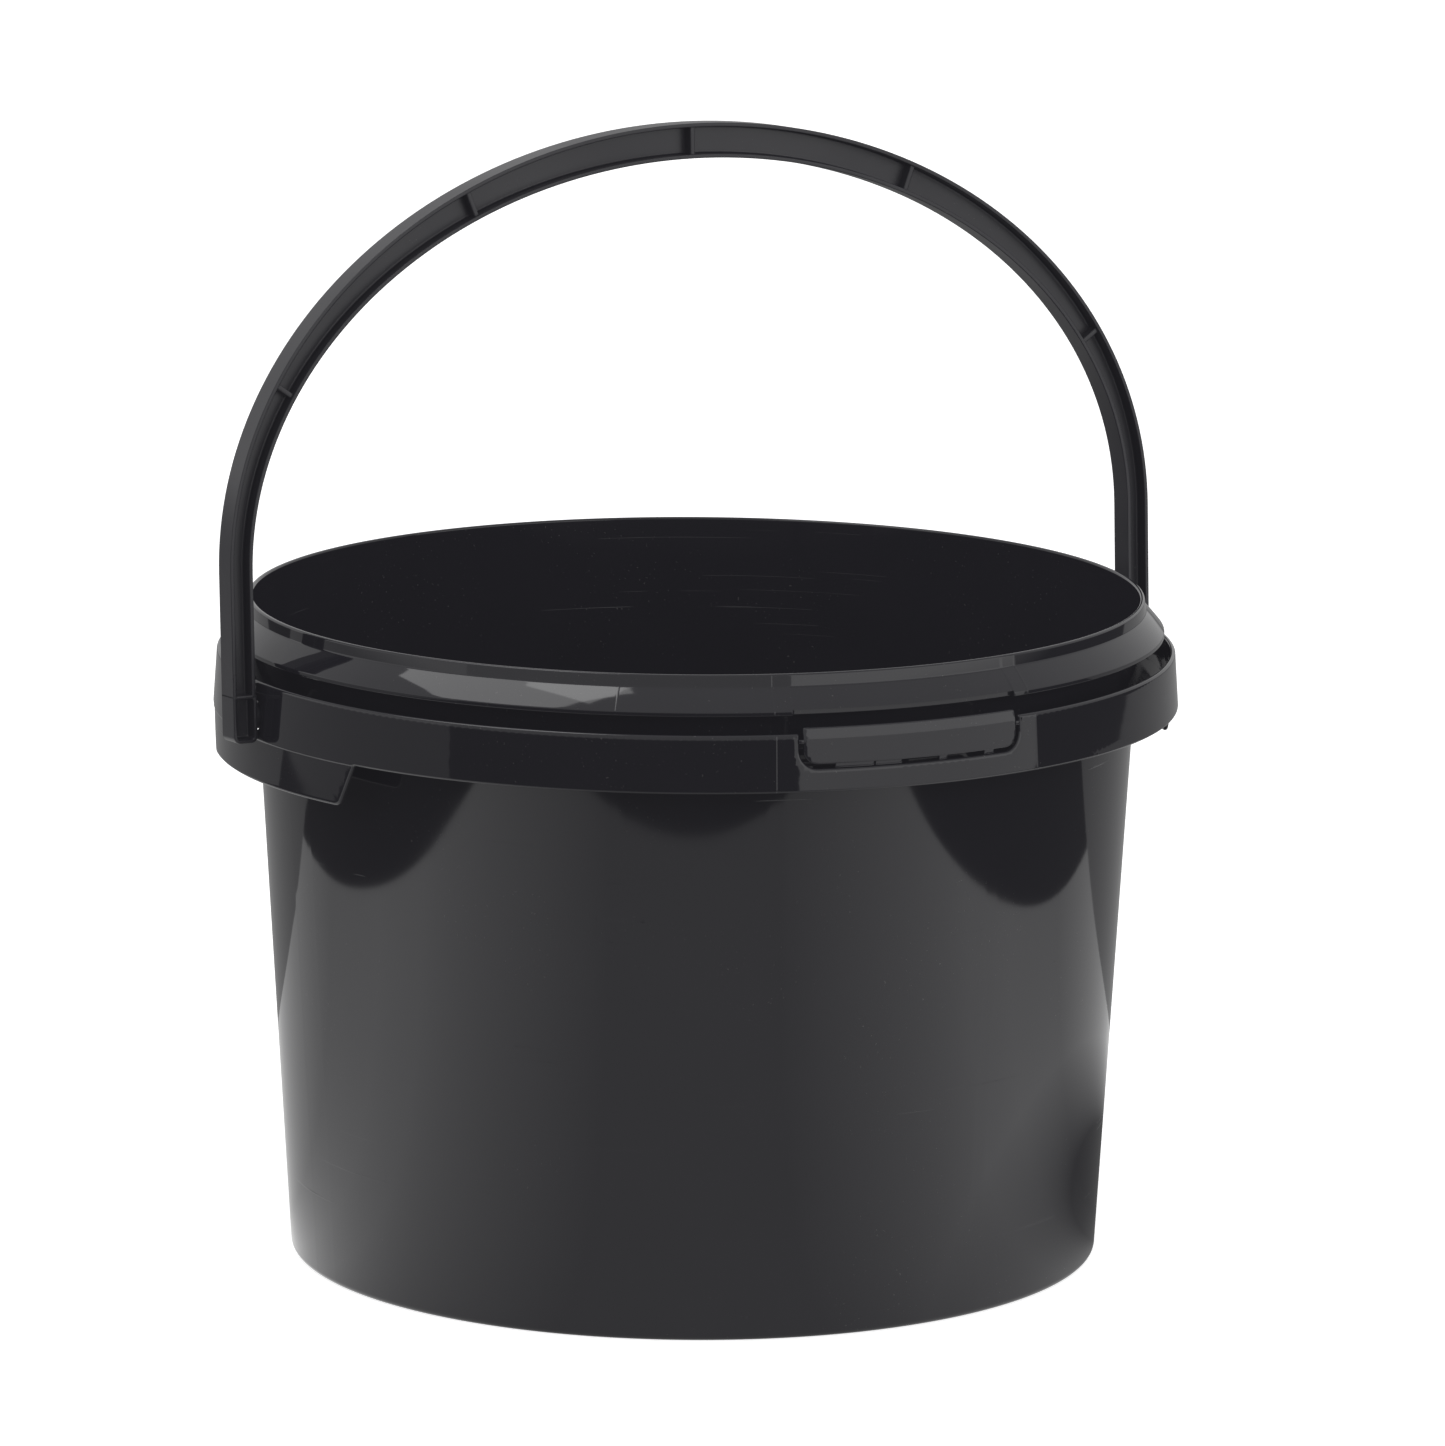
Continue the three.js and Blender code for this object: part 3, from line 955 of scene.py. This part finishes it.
def add_lights():
    centre = Vector((0, 0, 0.15))
    key_place = turned_from_camera(across=-0.50, towards=0.10, up=1.1)
    add_softbox("key_softbox", key_place, centre, width=0.62, height=0.55, power=2.2)
    spot_place = turned_from_camera(across=-0.38, towards=0.26, up=1.25)
    add_softbox("spot_softbox", spot_place, centre, width=0.3, height=0.2, power=0.35)
    upright_card("right_card", direction=54, width=1.9, low=-0.25, high=1.1, distance=1.6, power=7.0)
    upright_card("left_card", direction=-90, width=1.9, low=-0.17, high=0.9, distance=1.5, power=1.6)


def add_world():
    """Pale studio walls above the horizon and a dark room below it."""
    world = bpy.data.worlds.new("studio")
    bpy.context.scene.world = world
    world.use_nodes = True
    tree = world.node_tree
    background = tree.nodes["Background"]
    place = tree.nodes.new("ShaderNodeTexCoord")
    split = tree.nodes.new("ShaderNodeSeparateXYZ")
    ramp = tree.nodes.new("ShaderNodeMapRange")
    ramp.inputs["From Min"].default_value = -0.04
    ramp.inputs["From Max"].default_value = 0.0
    ramp.inputs["To Min"].default_value = 0.05
    ramp.inputs["To Max"].default_value = 0.6
    tree.links.new(place.outputs["Generated"], split.inputs[0])
    tree.links.new(split.outputs["Z"], ramp.inputs["Value"])
    tree.links.new(ramp.outputs[0], background.inputs["Strength"])
    background.inputs["Color"].default_value = (1, 1, 1, 1)


def flat_piece(name, corners, faces, material):
    mesh = bpy.data.meshes.new(name)
    mesh.from_pydata([tuple(corner) for corner in corners], [], faces)
    piece = bpy.data.objects.new(name, mesh)
    mesh.materials.append(material)
    bpy.context.scene.collection.objects.link(piece)
    return piece


def glow_nodes(name):
    """An empty material, for a surface that only gives light."""
    nodes = Nodes(name)
    nodes.tree.nodes.clear()
    return nodes


def finished_glow(nodes, strength):
    light = nodes.add("ShaderNodeEmission", {"Strength": strength}).outputs[0]
    nodes.add("ShaderNodeOutputMaterial", {"Surface": light})
    return nodes.material


def plain_glow(name, strength):
    return finished_glow(glow_nodes(name), strength)


def table_glow():
    """How bright the table looks in the bucket's gloss: dim in front, brightest to both sides."""
    nodes = glow_nodes("table_glow")
    place = nodes.add("ShaderNodeTexCoord").outputs["Object"]
    turn = {"Vector": place, "Angle": math.radians(-CAMERA_AZIMUTH)}
    turned = nodes.add("ShaderNodeVectorRotate", turn, rotation_type="Z_AXIS").outputs[0]
    across = nodes.add("ShaderNodeSeparateXYZ", {"Vector": turned}).outputs
    side = nodes.math("ABSOLUTE", across["X"], 0)
    towards = nodes.math("MULTIPLY", across["Y"], -1)

    # by direction, in radians from the photographer's side: rising to the sides, then falling behind
    direction = nodes.math("ARCTAN2", side, towards)
    rising = nodes.remap(direction, 0.35, 1.45, 0.48, 1.35)
    glow = nodes.math("MULTIPLY", rising, nodes.remap(direction, 1.2, 1.8, 1, 0.52))

    # by distance, in metres from the middle of the soft shadow
    ends = {0: turned, 1: SHADOW_PLACE}
    away = nodes.add("ShaderNodeVectorMath", ends, operation="DISTANCE").outputs["Value"]
    lit = nodes.math("MULTIPLY", glow, nodes.remap(away, 0.06, 0.145, 0.14, 1))
    return finished_glow(nodes, lit)


def corners_round(left, right, front, back):
    """The corners of a flat rectangle on the ground, square to the camera's view."""
    places = ((left, front), (right, front), (right, back), (left, back))
    return [turned_from_camera(across, towards, 0) for across, towards in places]


def add_floor():
    """A pale floor and a white backcloth, which only the camera sees."""
    edge = corners_round(-FLOOR_REACH, FLOOR_REACH, FLOOR_REACH, -FLOOR_REACH)
    floor = flat_piece("floor", edge, [(0, 1, 2, 3)], floor_material())
    raised = [corner + Vector((0, 0, BACKCLOTH_HEIGHT)) for corner in edge]
    walls = [(i, (i + 1) % 4, 4 + (i + 1) % 4, 4 + i) for i in range(4)]
    backcloth = flat_piece("backcloth", edge + raised, walls, plain_glow("backcloth_glow", 1.05))
    for piece in (floor, backcloth):
        piece.visible_glossy = False
        piece.visible_diffuse = False
    backcloth.visible_shadow = False


def add_mirrored_table():
    """A bright table top and a dimmer backdrop behind it, which only the gloss of the bucket shows."""
    top = corners_round(left=-0.41, right=0.40, front=0.455, back=TABLE_BACK)
    table = flat_piece("table_top", top, [(0, 1, 2, 3)], table_glow())
    beyond = corners_round(left=-1.0, right=1.0, front=TABLE_BACK, back=-4.0)
    backdrop = flat_piece("backdrop", beyond, [(0, 1, 2, 3)], plain_glow("backdrop_glow", 0.3))
    for piece in (table, backdrop):
        piece.visible_camera = False
        piece.visible_diffuse = False
        piece.visible_shadow = False


def show_studio_haze():
    """Plain colours, with blacks lifted a little by the haze of a bright white studio."""
    view = bpy.context.scene.view_settings
    view.view_transform = "Standard"
    view.use_curve_mapping = True
    for curve, haze in zip(view.curve_mapping.curves, HAZE):
        curve.points[0].location = (0, haze)
    view.curve_mapping.update()


# ---------- the whole object ----------

def build_bucket():
    pail_plastic = black_plastic("pail_plastic", shade=0.0105, roughness=0.045, scratches=0.3)
    tab_plastic = black_plastic("tab_plastic", shade=0.012, roughness=0.08, scratches=0.2)
    handle_plastic = black_plastic("handle_plastic", shade=0.014, roughness=0.34, scratches=0.2)
    for piece in (pail_body(pail_plastic), pail_collar(pail_plastic), pail_gussets(pail_plastic)):
        stands_for(piece, "pail")
    for piece in (tab_plate(tab_plastic), tab_bridges(tab_plastic)):
        stands_for(piece, "tear_off_tab")
    stands_for(bail_handle(handle_plastic), "bail_handle")


add_camera()
add_world()
add_lights()
add_floor()
add_mirrored_table()
build_bucket()
show_studio_haze()
